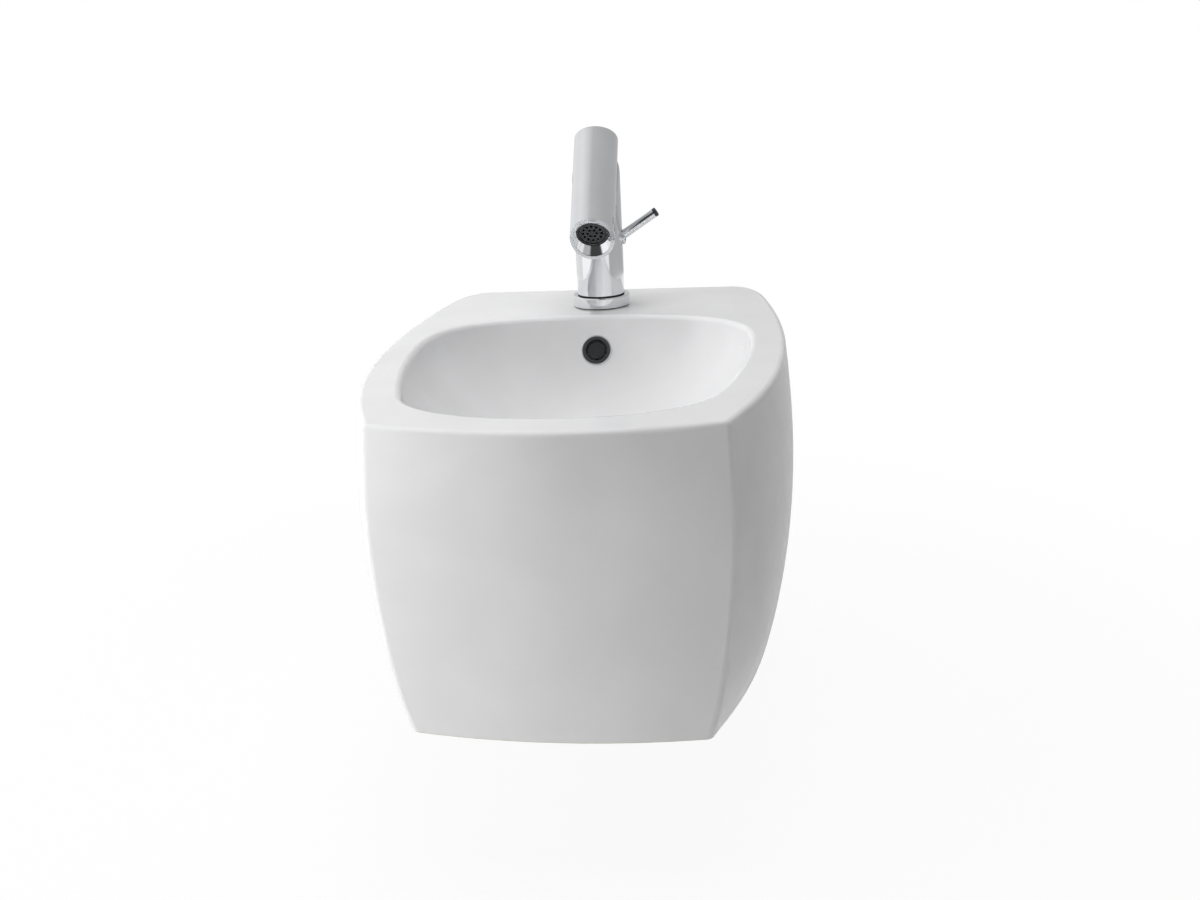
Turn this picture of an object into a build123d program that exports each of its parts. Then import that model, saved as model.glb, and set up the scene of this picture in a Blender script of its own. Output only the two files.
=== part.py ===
"""Wall-hung bidet with a single-lever mixer tap, waste set, bottle trap and wall fixings.

Frame: millimetres, +Z up. The wall is the plane Y = 0 and the bowl stands out along -Y.
The origin is midway between the two wall bolts, on the back face of the ceramic.
"""

from build123d import *
import math
import os

os.makedirs("parts", exist_ok=True)

# Driving dimensions of the ceramic
RIM_Z = 90.0
BODY_HEIGHT = 260.0
CERAMIC = 11.0
DECK_THICKNESS = 17.0
BACK_WALL = 17.0
BACK_OVERRUN = 3.0
REAR_CORNER_Y = 58.0
BACK_EDGE_X = 138.0
FRONT_CORNER_RADIUS = 8.0
RIM_ROUNDING = 4.5
BASIN_ROUNDING = 5.0
BASIN_DEPTH = 122.0
BASIN_SHARE = 0.955
BASIN_REAR_Y = -134.0
WASTE_Y = -265.0
BOSS_BOTTOM_Z = RIM_Z - 158.0
OVERFLOW_SHARE = 0.28
SERVICE_HALF_WIDTH = 55.0
SERVICE_TOP_Z = 25.0

# Driving dimensions of the tap
TAP_Y = -80.0
TAP_HOLE_RADIUS = 17.5
COLUMN_RADIUS = 24.8
SPOUT_RADIUS = 22.6
SPOUT_BORE_RADIUS = 19.3
BASE_RING_RADIUS = 30.0
BASE_RING_TOP = RIM_Z + 12.0
SPOUT_TOP = (-60.7, RIM_Z + 170.6)
SPOUT_LEAN = 51.0
SPOUT_LENGTH = 119.0
SPOUT_ROUNDING = 2.5
OUTLET_LEAN = 27.0
NOZZLE_LEAN = 37.0
SHOULDER_DROP = 9.0
STUD_Y = TAP_Y + 9.0
INLET_X = 8.0
INLET_Y = TAP_Y - 5.0
INLET_RADIUS = 4.5
FOOT_RECESS_RADIUS = 15.0
BALL_RADIUS = 17.5
BALL_FACE = 6.4
BALL_DEPTH = 11.1
BALL_LIP = 3.0
LEVER_Z = RIM_Z + 71.0
LEVER_X = 22.4
LEVER_LEAN = 33.0
LEVER_REACH = 46.5
LEVER_RADIUS = 4.6
LEVER_TRAVEL = 25.0
COLLAR_RADIUS = 7.5
COLLAR_LENGTH = 10.3
CARTRIDGE_RADIUS = 12.9

# Driving dimensions of the waste, the trap and the wall fixing
FLOOR_Z = RIM_Z - BASIN_SHARE * BASIN_DEPTH
WASTE_RADIUS = 20.8
WASTE_END_Z = -112.0
PLUG_RADIUS = 23.2
PLUG_DOME_RADIUS = 61.0
TRAP_OUTLET_Z = -145.0
PIPE_RADIUS = 16.0
PIPE_BEAD_RADIUS = 17.6
PIPE_WALL_REACH = 30.0
BOLT_SPACING = 180.0
BOLT_RADIUS = 6.0
BOLT_INNER_RADIUS = 5.8
BOLT_BOSS_DEPTH = 34.0
BOLT_WALL_REACH = 45.0
RUNNING_GAP = 0.05

# Outer outline levels, from the rim down: drop below the rim, half width and distance from
# the wall of the front corner, bulge of the front face, greatest half width
LEVELS = (
    (0.0, 138.0, 489.0, 23.7, 185.0),
    (50.0, 141.0, 494.0, 22.0, 190.5),
    (105.0, 141.5, 498.5, 19.5, 193.5),
    (160.0, 138.0, 501.0, 16.5, 192.0),
    (210.0, 132.0, 502.0, 13.5, 186.0),
    (BODY_HEIGHT, 121.0, 500.0, 10.8, 175.5),
)


def outline(level, inset=0.0, back=0.0):
    """Plan outline of the body at one level, drawn in from the outside by inset."""
    drop, corner_x, corner_y, bulge, half_width = level
    cx = corner_x - inset
    cy = corner_y - inset
    w = half_width - inset
    back_x = BACK_EDGE_X - inset
    with BuildSketch(Plane.XY.offset(RIM_Z - drop)) as section:
        with BuildLine():
            ThreePointArc((-cx, -cy), (0, -cy - bulge), (cx, -cy))
            Line((back_x, -back), (-back_x, -back))
            for s in (1, -1):
                side_end = (s * (w - 12), -REAR_CORNER_Y)
                back_end = (s * back_x, -back)
                Bezier((s * cx, -cy), (s * (cx + 11), 34 - cy), (s * (w + 30), -0.7 * cy), side_end)
                Bezier(side_end, (s * (w - 17), -24 - back), (s * (back_x + 16), -back), back_end)
        make_face()
        fillet(section.vertices().sort_by(Axis.Y)[:2], FRONT_CORNER_RADIUS)
    return section.sketch


def basin_scale(share):
    """Width of the basin at a share of its depth, as a part of its width at the rim."""
    return (1 - share**1.6) ** (1 / 1.8)


def basin_outline(share, grow=0.0):
    """Plan outline of the basin at a share of its depth, or of a shell grown around it."""
    scale = basin_scale(share) + grow / 150
    with BuildSketch(Plane.XY.offset(RIM_Z - share * (BASIN_DEPTH + grow))) as section:
        with BuildLine():
            for s in (1, -1):
                points = (
                    ((0, -134), (s * 105, -134), (s * 156, -160), (s * 156, -240)),
                    ((s * 156, -240), (s * 156, -300), (s * 143, -370), (s * 128, -415)),
                    ((s * 128, -415), (s * 117, -448), (s * 75, -476), (0, -476)),
                )
                for curve in points:
                    Bezier(*[(scale * x, WASTE_Y + scale * (y - WASTE_Y)) for x, y in curve])
        make_face()
    return section.sketch


def rear_wall_point(share, grow=0.0):
    """Point (Y, Z) of the basin's rear wall, or of a shell grown behind it, at X = 0."""
    reach = (BASIN_REAR_Y - WASTE_Y) * (basin_scale(share) + grow / 150)
    return (WASTE_Y + reach, RIM_Z - share * (BASIN_DEPTH + grow))


def ring(plane, radius, bore, height):
    """Plain ring or washer standing on a plane."""
    with BuildPart(plane) as body:
        Cylinder(radius, height, align=(Align.CENTER, Align.CENTER, Align.MIN))
        Cylinder(bore, height, align=(Align.CENTER, Align.CENTER, Align.MIN), mode=Mode.SUBTRACT)
    return body.part


def rod(plane, radius, height):
    """Plain cylinder standing on a plane."""
    with BuildPart(plane) as body:
        Cylinder(radius, height, align=(Align.CENTER, Align.CENTER, Align.MIN))
    return body.part


def save(part, name):
    """Label one finished piece and write it under its own name."""
    part.label = name
    export_step(part, f"parts/{name}.step")


# Frames that several pieces share
waste_axis = Plane((0, WASTE_Y, 0))
overflow_y, overflow_z = rear_wall_point(OVERFLOW_SHARE)
above = rear_wall_point(OVERFLOW_SHARE - 0.05)
below = rear_wall_point(OVERFLOW_SHARE + 0.05)
overflow_slope = math.atan2(above[0] - below[0], above[1] - below[1])
overflow_normal = (0, -math.cos(overflow_slope), math.sin(overflow_slope))
OVERFLOW = Plane((0, overflow_y, overflow_z), x_dir=(1, 0, 0), z_dir=overflow_normal)

# Ceramic bowl: skirt open below, flat rim and tap deck, basin, overflow duct and waste boss
cavity_levels = [(DECK_THICKNESS,) + LEVELS[0][1:]] + list(LEVELS[1:])
cavity_levels.append((BODY_HEIGHT + 14, 117.0, 499.0, 10.0, 172.0))
shares = (0, 0.15, 0.3, 0.45, 0.6, 0.75, 0.87, BASIN_SHARE)
duct_shares = (0.16, 0.3, 0.45, 0.6, 0.75, 0.87, 0.95)

with BuildPart() as bowl:
    loft([outline(level, back=-BACK_OVERRUN) for level in LEVELS])
    rim_edges = bowl.faces().sort_by(Axis.Z)[-1].edges().filter_by_position(Axis.Y, -700, 1)
    fillet(rim_edges, RIM_ROUNDING)
    loft([outline(level, CERAMIC, BACK_WALL) for level in cavity_levels], mode=Mode.SUBTRACT)
    split(bisect_by=Plane.XZ)
    loft([basin_outline(share, CERAMIC) for share in shares])
    with BuildSketch(Plane.YZ):
        with BuildLine():
            Spline([rear_wall_point(share, 29) for share in (0.03,) + duct_shares])
            Spline([rear_wall_point(share, 5) for share in (0.03,) + duct_shares])
            Line(rear_wall_point(0.03, 29), rear_wall_point(0.03, 5))
            Line(rear_wall_point(0.95, 29), rear_wall_point(0.95, 5))
        make_face()
    extrude(amount=23, both=True)
    with Locations((0, WASTE_Y, BOSS_BOTTOM_Z)):
        Cylinder(34, FLOOR_Z - BOSS_BOTTOM_Z, align=(Align.CENTER, Align.CENTER, Align.MIN))
    for side in (-1, 1):
        with BuildSketch(Plane.XZ.offset(BACK_WALL / 2)):
            with Locations((side * BOLT_SPACING / 2, 0)):
                Circle(25)
        extrude(amount=BOLT_BOSS_DEPTH - BACK_WALL / 2)
    loft([basin_outline(share) for share in shares], mode=Mode.SUBTRACT)
    fillet(bowl.faces().sort_by(Axis.Z)[-1].inner_wires().edges(), BASIN_ROUNDING)
    with BuildSketch(Plane.YZ):
        with BuildLine():
            Spline([rear_wall_point(share, 20) for share in duct_shares])
            Spline([rear_wall_point(share, 8) for share in duct_shares])
            Line(rear_wall_point(0.16, 20), rear_wall_point(0.16, 8))
            Polyline(
                rear_wall_point(0.95, 20),
                (WASTE_Y, rear_wall_point(0.95, 20)[1]),
                (WASTE_Y, rear_wall_point(0.95, 8)[1]),
                rear_wall_point(0.95, 8),
            )
        make_face()
    extrude(amount=14, both=True, mode=Mode.SUBTRACT)
    with Locations(OVERFLOW):
        with Locations((0, 0, -9)):
            Cylinder(12.5, 22, mode=Mode.SUBTRACT)
        with Locations((0, 0, -2.5)):
            Cylinder(15.7, 12, align=(Align.CENTER, Align.CENTER, Align.MIN), mode=Mode.SUBTRACT)
    with Locations((0, WASTE_Y, BOSS_BOTTOM_Z - 1)):
        Cylinder(22.5, 80, align=(Align.CENTER, Align.CENTER, Align.MIN), mode=Mode.SUBTRACT)
    with Locations((0, WASTE_Y, FLOOR_Z - 3)):
        Cylinder(32, 14, align=(Align.CENTER, Align.CENTER, Align.MIN), mode=Mode.SUBTRACT)
    with Locations((0, TAP_Y, RIM_Z)):
        Cylinder(TAP_HOLE_RADIUS, 60, mode=Mode.SUBTRACT)
    with BuildSketch(Plane.XZ.offset(-1)):
        with Locations((-BOLT_SPACING / 2, 0), (BOLT_SPACING / 2, 0)):
            Circle(11)
    extrude(amount=BOLT_BOSS_DEPTH + 2, mode=Mode.SUBTRACT)
    with BuildSketch(Plane.XZ.offset(-1)) as service:
        with Locations((0, SERVICE_TOP_Z)):
            Rectangle(2 * SERVICE_HALF_WIDTH, 260, align=(Align.CENTER, Align.MAX))
        fillet(service.vertices().sort_by(Axis.Y)[-2:], 30)
    extrude(amount=BACK_WALL + 2, mode=Mode.SUBTRACT)
save(bowl.part, "bowl")

# Overflow trim: chrome ring let into the rear wall of the basin, dark cap standing in it
with BuildPart(OVERFLOW) as overflow_ring:
    with Locations((0, 0, -2.5)):
        Cylinder(15.5, 4.5, align=(Align.CENTER, Align.CENTER, Align.MIN))
    fillet(overflow_ring.edges().group_by(Axis.Y)[0], 1.2)
    with Locations((0, 0, -16)):
        Cylinder(12.3, 14, align=(Align.CENTER, Align.CENTER, Align.MIN))
        Cylinder(11.0, 30, align=(Align.CENTER, Align.CENTER, Align.MIN), mode=Mode.SUBTRACT)
save(overflow_ring.part, "overflow_ring")

with BuildPart(OVERFLOW) as overflow_grid:
    with Locations((0, 0, -3)):
        Cylinder(8.6, 3, align=(Align.CENTER, Align.CENTER, Align.MIN))
    with Locations((0, 0, -8)):
        Box(21.7, 2.4, 5, align=(Align.CENTER, Align.CENTER, Align.MIN))
        Box(2.4, 21.7, 5, align=(Align.CENTER, Align.CENTER, Align.MIN))
save(overflow_grid.part, "overflow_grid")

# Waste set: flange and threaded body, click-clack plug on its latch, gaskets and back nut
with BuildPart(waste_axis.offset(FLOOR_Z)) as waste_flange:
    with Locations((0, 0, -1)):
        Cylinder(31.5, 3.5, align=(Align.CENTER, Align.CENTER, Align.MIN))
    fillet(waste_flange.edges().group_by(Axis.Z)[-1], 1.5)
    with Locations((0, 0, WASTE_END_Z - FLOOR_Z)):
        Cylinder(WASTE_RADIUS, FLOOR_Z - WASTE_END_Z, align=(Align.CENTER, Align.CENTER, Align.MIN))
        Cylinder(18, 120, align=(Align.CENTER, Align.CENTER, Align.MIN), mode=Mode.SUBTRACT)
    with Locations((0, 0, 0.6)):
        Cylinder(24, 10, align=(Align.CENTER, Align.CENTER, Align.MIN), mode=Mode.SUBTRACT)
    with Locations((0, 0, -16)):
        Box(60, 14, 13, mode=Mode.SUBTRACT)
        Box(14, 60, 13, mode=Mode.SUBTRACT)
    with Locations((0, 0, -36)):
        Cylinder(8, 10)
        with PolarLocations(0, 3):
            Box(18.6, 3, 10, align=(Align.MIN, Align.CENTER, Align.CENTER))
        Cylinder(5.5, 10, mode=Mode.SUBTRACT)
save(waste_flange.part, "waste_flange")

plug_seat = waste_axis.offset(FLOOR_Z)
with BuildPart(plug_seat) as latch_cartridge:
    with Locations((0, 0, -44)):
        Cylinder(5.5, 26, align=(Align.CENTER, Align.CENTER, Align.MIN))
        Cylinder(2.5 + RUNNING_GAP, 27, align=(Align.CENTER, Align.CENTER, Align.MIN), mode=Mode.SUBTRACT)
save(latch_cartridge.part, "latch_cartridge")

save(rod(plug_seat.offset(-40), 2.5, 41), "plug_stem")

with BuildPart(plug_seat) as waste_plug:
    with Locations((0, 0, 1)):
        Cylinder(PLUG_RADIUS, 6, align=(Align.CENTER, Align.CENTER, Align.MIN))
    with Locations((0, 0, 7 - PLUG_DOME_RADIUS)):
        Sphere(PLUG_DOME_RADIUS, mode=Mode.INTERSECT)
save(waste_plug.part, "waste_plug")
save(ring(plug_seat.offset(-0.9), 17.4, 6, 1.9), "plug_seal")

save(ring(plug_seat.offset(-3), 31, 23, 2), "waste_gasket_upper")
save(ring(waste_axis.offset(BOSS_BOTTOM_Z - 3.5), 31, WASTE_RADIUS, 3.5), "waste_gasket_lower")

with BuildPart(waste_axis.offset(BOSS_BOTTOM_Z - 12.5)) as waste_nut:
    with BuildSketch(waste_axis.offset(BOSS_BOTTOM_Z - 12.5)):
        RegularPolygon(30, 8)
        Circle(WASTE_RADIUS, mode=Mode.SUBTRACT)
    extrude(amount=9)
save(waste_nut.part, "waste_nut")

# Bottle trap: inlet union, body with dip tube, screw-off cup, outlet union and wall pipe
save(ring(waste_axis.offset(WASTE_END_Z - 2.5), 20.5, 16.5, 2.5), "trap_inlet_seal")

TRAP_TOP_Z = WASTE_END_Z - 2.5
with BuildPart(waste_axis.offset(TRAP_TOP_Z - 8)) as trap_inlet_nut:
    Cylinder(26, 23, align=(Align.CENTER, Align.CENTER, Align.MIN))
    with PolarLocations(26.5, 12):
        Cylinder(1.6, 23, align=(Align.CENTER, Align.CENTER, Align.MIN))
    Cylinder(17.6, 30, align=(Align.CENTER, Align.CENTER, Align.MIN), mode=Mode.SUBTRACT)
    with Locations((0, 0, 4)):
        Cylinder(WASTE_RADIUS, 30, align=(Align.CENTER, Align.CENTER, Align.MIN), mode=Mode.SUBTRACT)
save(trap_inlet_nut.part, "trap_inlet_nut")

with BuildPart(waste_axis.offset(TRAP_TOP_Z)) as trap_body:
    with Locations((0, 0, -4)):
        Cylinder(20.5, 4, align=(Align.CENTER, Align.CENTER, Align.MIN))
    with Locations((0, 0, -20)):
        Cylinder(17.5, 16, align=(Align.CENTER, Align.CENTER, Align.MIN))
    with Locations((0, 0, -66)):
        Cylinder(29, 52, align=(Align.CENTER, Align.CENTER, Align.MIN))
    fillet(trap_body.edges().filter_by(GeomType.CIRCLE).group_by(SortBy.RADIUS)[-1].sort_by(Axis.Z)[-1], 6)
    with BuildSketch(Plane.XZ.offset(-WASTE_Y)):
        with Locations((0, TRAP_OUTLET_Z)):
            Circle(20)
    extrude(amount=-46)
    with Locations((0, 0, -67)):
        Cylinder(26.5, 48, align=(Align.CENTER, Align.CENTER, Align.MIN), mode=Mode.SUBTRACT)
    with BuildSketch(Plane.XZ.offset(-WASTE_Y - 20)):
        with Locations((0, TRAP_OUTLET_Z)):
            Circle(PIPE_RADIUS)
    extrude(amount=-30, mode=Mode.SUBTRACT)
    with Locations((0, 0, -76)):
        Cylinder(15.5, 72, align=(Align.CENTER, Align.CENTER, Align.MIN))
        Cylinder(13.5, 90, align=(Align.CENTER, Align.CENTER, Align.MIN), mode=Mode.SUBTRACT)
save(trap_body.part, "trap_body")

CUP_TOP_Z = TRAP_TOP_Z - 52
save(ring(waste_axis.offset(TRAP_TOP_Z - 68), 28.5, 25, 2), "trap_cup_seal")
with BuildPart(waste_axis.offset(CUP_TOP_Z - 38)) as trap_cup:
    Cylinder(32, 38, align=(Align.CENTER, Align.CENTER, Align.MIN))
    fillet(trap_cup.edges().group_by(Axis.Z)[0], 8)
    with Locations((0, 0, 12)):
        with PolarLocations(32, 16):
            Cylinder(1.5, 26, align=(Align.CENTER, Align.CENTER, Align.MIN))
    with Locations((0, 0, 3)):
        Cylinder(24, 40, align=(Align.CENTER, Align.CENTER, Align.MIN), mode=Mode.SUBTRACT)
    with Locations((0, 0, 22)):
        Cylinder(29, 40, align=(Align.CENTER, Align.CENTER, Align.MIN), mode=Mode.SUBTRACT)
save(trap_cup.part, "trap_cup")

outlet_end_y = WASTE_Y + 46
outlet_frame = Plane((0, outlet_end_y, TRAP_OUTLET_Z), x_dir=(1, 0, 0), z_dir=(0, 1, 0))
save(ring(outlet_frame, 19.5, PIPE_RADIUS, 3), "trap_outlet_seal")
with BuildPart(outlet_frame.offset(-10)) as trap_outlet_nut:
    Cylinder(25, 18, align=(Align.CENTER, Align.CENTER, Align.MIN))
    with PolarLocations(25.5, 12):
        Cylinder(1.6, 18, align=(Align.CENTER, Align.CENTER, Align.MIN))
    Cylinder(PIPE_RADIUS, 30, align=(Align.CENTER, Align.CENTER, Align.MIN), mode=Mode.SUBTRACT)
    Cylinder(20, 13, align=(Align.CENTER, Align.CENTER, Align.MIN), mode=Mode.SUBTRACT)
save(trap_outlet_nut.part, "trap_outlet_nut")
pipe_start = outlet_frame.offset(-12)
with BuildPart(pipe_start) as outlet_pipe:
    Cylinder(PIPE_RADIUS, PIPE_WALL_REACH - outlet_end_y + 12, align=(Align.CENTER, Align.CENTER, Align.MIN))
    with Locations((0, 0, 20.5)):
        Cylinder(PIPE_BEAD_RADIUS, 3, align=(Align.CENTER, Align.CENTER, Align.MIN))
    Cylinder(14, 300, align=(Align.CENTER, Align.CENTER, Align.MIN), mode=Mode.SUBTRACT)
save(outlet_pipe.part, "outlet_pipe")

# Tap: base ring and seal on the deck, column with the leaning spout tube
tap_axis = Plane((0, TAP_Y, 0))
save(ring(tap_axis.offset(RIM_Z), 28, 18.5, 1.2), "tap_base_seal")
with BuildPart(tap_axis.offset(RIM_Z + 1.2)) as tap_base_ring:
    Cylinder(BASE_RING_RADIUS, BASE_RING_TOP - RIM_Z - 1.2, align=(Align.CENTER, Align.CENTER, Align.MIN))
    chamfer(tap_base_ring.edges().group_by(Axis.Z)[-1], 1.2)
    Cylinder(17.2, 20, align=(Align.CENTER, Align.CENTER, Align.MIN), mode=Mode.SUBTRACT)
save(tap_base_ring.part, "tap_base_ring")

lean = math.radians(SPOUT_LEAN)
spout_direction = (0, -math.cos(lean), -math.sin(lean))
spout_frame = Plane((0, SPOUT_TOP[0], SPOUT_TOP[1]), x_dir=(1, 0, 0), z_dir=spout_direction)
outlet_lean = math.radians(OUTLET_LEAN)
outlet_centre = (
    0,
    SPOUT_TOP[0] - SPOUT_LENGTH * math.cos(lean),
    SPOUT_TOP[1] - SPOUT_LENGTH * math.sin(lean),
)
outlet_direction = (0, -math.cos(outlet_lean), -math.sin(outlet_lean))
outlet_plane = Plane(outlet_centre, x_dir=(1, 0, 0), z_dir=outlet_direction)
spout_end = Plane(outlet_centre, x_dir=(1, 0, 0), z_dir=spout_direction)
lever_frame = Plane((0, TAP_Y, LEVER_Z), x_dir=(0, 1, 0), z_dir=(1, 0, 0))

with BuildPart(spout_frame) as spout_tube:
    Cylinder(SPOUT_RADIUS, SPOUT_LENGTH + 16, align=(Align.CENTER, Align.CENTER, Align.MIN))
    fillet(spout_tube.edges().filter_by(GeomType.CIRCLE).sort_by(Axis.Z)[-1], SPOUT_ROUNDING)
    split(bisect_by=outlet_plane, keep=Keep.BOTTOM)

with BuildPart() as tap_body:
    with Locations((0, TAP_Y, BASE_RING_TOP + 1.2)):
        Cylinder(COLUMN_RADIUS, 150, align=(Align.CENTER, Align.CENTER, Align.MIN))
    shoulder = spout_frame.origin + Vector(0, math.sin(lean), -math.cos(lean)) * SHOULDER_DROP
    split(bisect_by=Plane(shoulder, z_dir=(0, math.sin(lean), -math.cos(lean))))
    split(bisect_by=Plane(spout_frame.origin, z_dir=spout_direction))
    with Locations((0, TAP_Y, RIM_Z - 3)):
        Cylinder(17, 20, align=(Align.CENTER, Align.CENTER, Align.MIN))
    with Locations((0, TAP_Y, BASE_RING_TOP)):
        Cylinder(COLUMN_RADIUS - 1, 8, align=(Align.CENTER, Align.CENTER, Align.MIN))
    add(spout_tube.part)
    with Locations(spout_end.offset(-BALL_DEPTH - 25)):
        Cylinder(SPOUT_BORE_RADIUS, 80, align=(Align.CENTER, Align.CENTER, Align.MIN), mode=Mode.SUBTRACT)
    with Locations(lever_frame.offset(-16)):
        Cylinder(CARTRIDGE_RADIUS, 60, align=(Align.CENTER, Align.CENTER, Align.MIN), mode=Mode.SUBTRACT)
    with Locations(lever_frame.offset(12)):
        Cylinder(14.5, 60, align=(Align.CENTER, Align.CENTER, Align.MIN), mode=Mode.SUBTRACT)
    with Locations((0, TAP_Y, RIM_Z - 4)):
        Cylinder(FOOT_RECESS_RADIUS, 5, align=(Align.CENTER, Align.CENTER, Align.MIN), mode=Mode.SUBTRACT)
    with Locations((0, STUD_Y, RIM_Z - 4)):
        Cylinder(4, 22, align=(Align.CENTER, Align.CENTER, Align.MIN), mode=Mode.SUBTRACT)
    with Locations((-INLET_X, INLET_Y, RIM_Z - 4), (INLET_X, INLET_Y, RIM_Z - 4)):
        Cylinder(INLET_RADIUS, 20, align=(Align.CENTER, Align.CENTER, Align.MIN), mode=Mode.SUBTRACT)
save(tap_body.part, "tap_body")

# Swivelling nozzle: socket screwed into the spout, ball in it, jet former in the ball
ball_seat = spout_end.offset(-BALL_DEPTH)
nozzle_lean = math.radians(NOZZLE_LEAN)
nozzle_direction = (0, -math.cos(nozzle_lean), -math.sin(nozzle_lean))
ball_frame = Plane(ball_seat.origin, x_dir=(1, 0, 0), z_dir=nozzle_direction)
with BuildPart(ball_seat) as aerator_socket:
    with Locations((0, 0, -22)):
        Cylinder(SPOUT_BORE_RADIUS, 40, align=(Align.CENTER, Align.CENTER, Align.MIN))
    split(bisect_by=ball_frame.offset(BALL_LIP), keep=Keep.BOTTOM)
    Sphere(BALL_RADIUS + RUNNING_GAP, mode=Mode.SUBTRACT)
    Cylinder(12, 60, align=(Align.CENTER, Align.CENTER, Align.MAX), mode=Mode.SUBTRACT)
save(aerator_socket.part, "aerator_socket")

with BuildPart(ball_frame) as aerator_ball:
    Sphere(BALL_RADIUS)
    with Locations((0, 0, BALL_FACE)):
        Box(60, 60, 30, align=(Align.CENTER, Align.CENTER, Align.MIN), mode=Mode.SUBTRACT)
    with Locations((0, 0, -9)):
        Box(60, 60, 30, align=(Align.CENTER, Align.CENTER, Align.MAX), mode=Mode.SUBTRACT)
    with Locations((0, 0, -20)):
        Cylinder(9, 60, align=(Align.CENTER, Align.CENTER, Align.MIN), mode=Mode.SUBTRACT)
    with Locations((0, 0, -3)):
        Cylinder(14, 60, align=(Align.CENTER, Align.CENTER, Align.MIN), mode=Mode.SUBTRACT)
save(aerator_ball.part, "aerator_ball")

with BuildPart(ball_frame) as aerator_insert:
    with Locations((0, 0, -3)):
        Cylinder(14, BALL_FACE + 2, align=(Align.CENTER, Align.CENTER, Align.MIN))
    for hole_circle, holes in ((4.5, 6), (9.5, 12)):
        with PolarLocations(hole_circle, holes):
            Cylinder(1.5, 60, mode=Mode.SUBTRACT)
save(aerator_insert.part, "aerator_insert")

# Mixing cartridge lying across the column, its nut and the cover that closes the bore
with BuildPart(lever_frame.offset(-16)) as cartridge:
    Cylinder(CARTRIDGE_RADIUS, 28, align=(Align.CENTER, Align.CENTER, Align.MIN))
    with Locations((0, 0, 21)):
        Cylinder(8.6, 20, align=(Align.CENTER, Align.CENTER, Align.MIN), mode=Mode.SUBTRACT)
save(cartridge.part, "cartridge")
save(ring(lever_frame.offset(12), 14.5, 9, 4), "cartridge_nut")

with BuildPart() as lever_cover:
    with Locations(lever_frame.offset(16)):
        Cylinder(14.5, 12, align=(Align.CENTER, Align.CENTER, Align.MIN))
    with Locations((0, TAP_Y, LEVER_Z)):
        Cylinder(COLUMN_RADIUS, 80, mode=Mode.INTERSECT)
    with Locations(lever_frame.offset(19)):
        Cylinder(9, 5.8, align=(Align.CENTER, Align.CENTER, Align.MIN))
        Cylinder(COLLAR_RADIUS + RUNNING_GAP, 60, mode=Mode.SUBTRACT)
save(lever_cover.part, "lever_cover")

# Lever: turning collar with a slot, lever rod with its ball and spindle in the collar
lever_lean = math.radians(LEVER_LEAN)
pivot = (LEVER_X, TAP_Y, LEVER_Z)
lever_direction = (math.cos(lever_lean), 0, math.sin(lever_lean))
rod_frame = Plane(pivot, x_dir=(0, 1, 0), z_dir=lever_direction)
with BuildPart(lever_frame.offset(LEVER_X - 4.5)) as lever_collar:
    Cylinder(COLLAR_RADIUS, COLLAR_LENGTH, align=(Align.CENTER, Align.CENTER, Align.MIN))
    fillet(lever_collar.edges().group_by(Axis.X)[-1], 1.5)
    with Locations((0, 0, 4.5)):
        Sphere(5.5, mode=Mode.SUBTRACT)
        Cylinder(5.5, 20, align=(Align.CENTER, Align.CENTER, Align.MAX), mode=Mode.SUBTRACT)
    with BuildSketch(Plane(pivot, x_dir=(1, 0, 0), z_dir=(0, -1, 0))):
        with BuildLine():
            low = math.radians(LEVER_LEAN - LEVER_TRAVEL)
            foot = (LEVER_RADIUS + 0.5) / math.cos(low)
            far = 30
            Polyline(
                (0, -foot),
                (far, far * math.tan(low) - foot),
                (far, far * math.tan(lever_lean) + (LEVER_RADIUS + 0.5) / math.cos(lever_lean)),
                (0, (LEVER_RADIUS + 0.5) / math.cos(lever_lean)),
                close=True,
            )
        make_face()
    extrude(amount=LEVER_RADIUS + 0.35, both=True, mode=Mode.SUBTRACT)
save(lever_collar.part, "lever_collar")

with BuildPart(rod_frame) as lever_rod:
    Cylinder(LEVER_RADIUS, LEVER_REACH, align=(Align.CENTER, Align.CENTER, Align.MIN))
    chamfer(lever_rod.edges().filter_by(GeomType.CIRCLE).sort_by(Axis.X)[-1], 0.5)
    Sphere(5.2)
save(lever_rod.part, "lever_rod")
with BuildPart(lever_frame.offset(9)) as cartridge_spindle:
    Cylinder(2.5, LEVER_X - 9, align=(Align.CENTER, Align.CENTER, Align.MIN))
    with Locations((0, 0, LEVER_X - 9)):
        Sphere(5.2, mode=Mode.SUBTRACT)
save(cartridge_spindle.part, "cartridge_spindle")

# Tap fixing under the deck: stud, rubber pad, horseshoe washer and hexagon nut
stud_axis = Plane((0, STUD_Y, 0))
deck_underside = RIM_Z - DECK_THICKNESS
save(rod(stud_axis.offset(RIM_Z - 72), 4, 86), "tap_stud")
for name, top, thickness in (
    ("tap_horseshoe_pad", deck_underside, 3),
    ("tap_horseshoe", deck_underside - 3, 3),
):
    with BuildPart() as horseshoe:
        with BuildSketch(tap_axis.offset(top - thickness)):
            Circle(26)
            with Locations((0, 1.5)):
                Rectangle(27, 40, align=(Align.CENTER, Align.MAX), mode=Mode.SUBTRACT)
            with Locations((0, STUD_Y - TAP_Y)):
                Circle(4.3, mode=Mode.SUBTRACT)
        extrude(amount=thickness)
    save(horseshoe.part, name)
with BuildPart() as tap_nut:
    with BuildSketch(stud_axis.offset(deck_underside - 16)):
        RegularPolygon(6.5, 6, major_radius=False)
        Circle(4, mode=Mode.SUBTRACT)
    extrude(amount=10)
save(tap_nut.part, "tap_nut")

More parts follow.
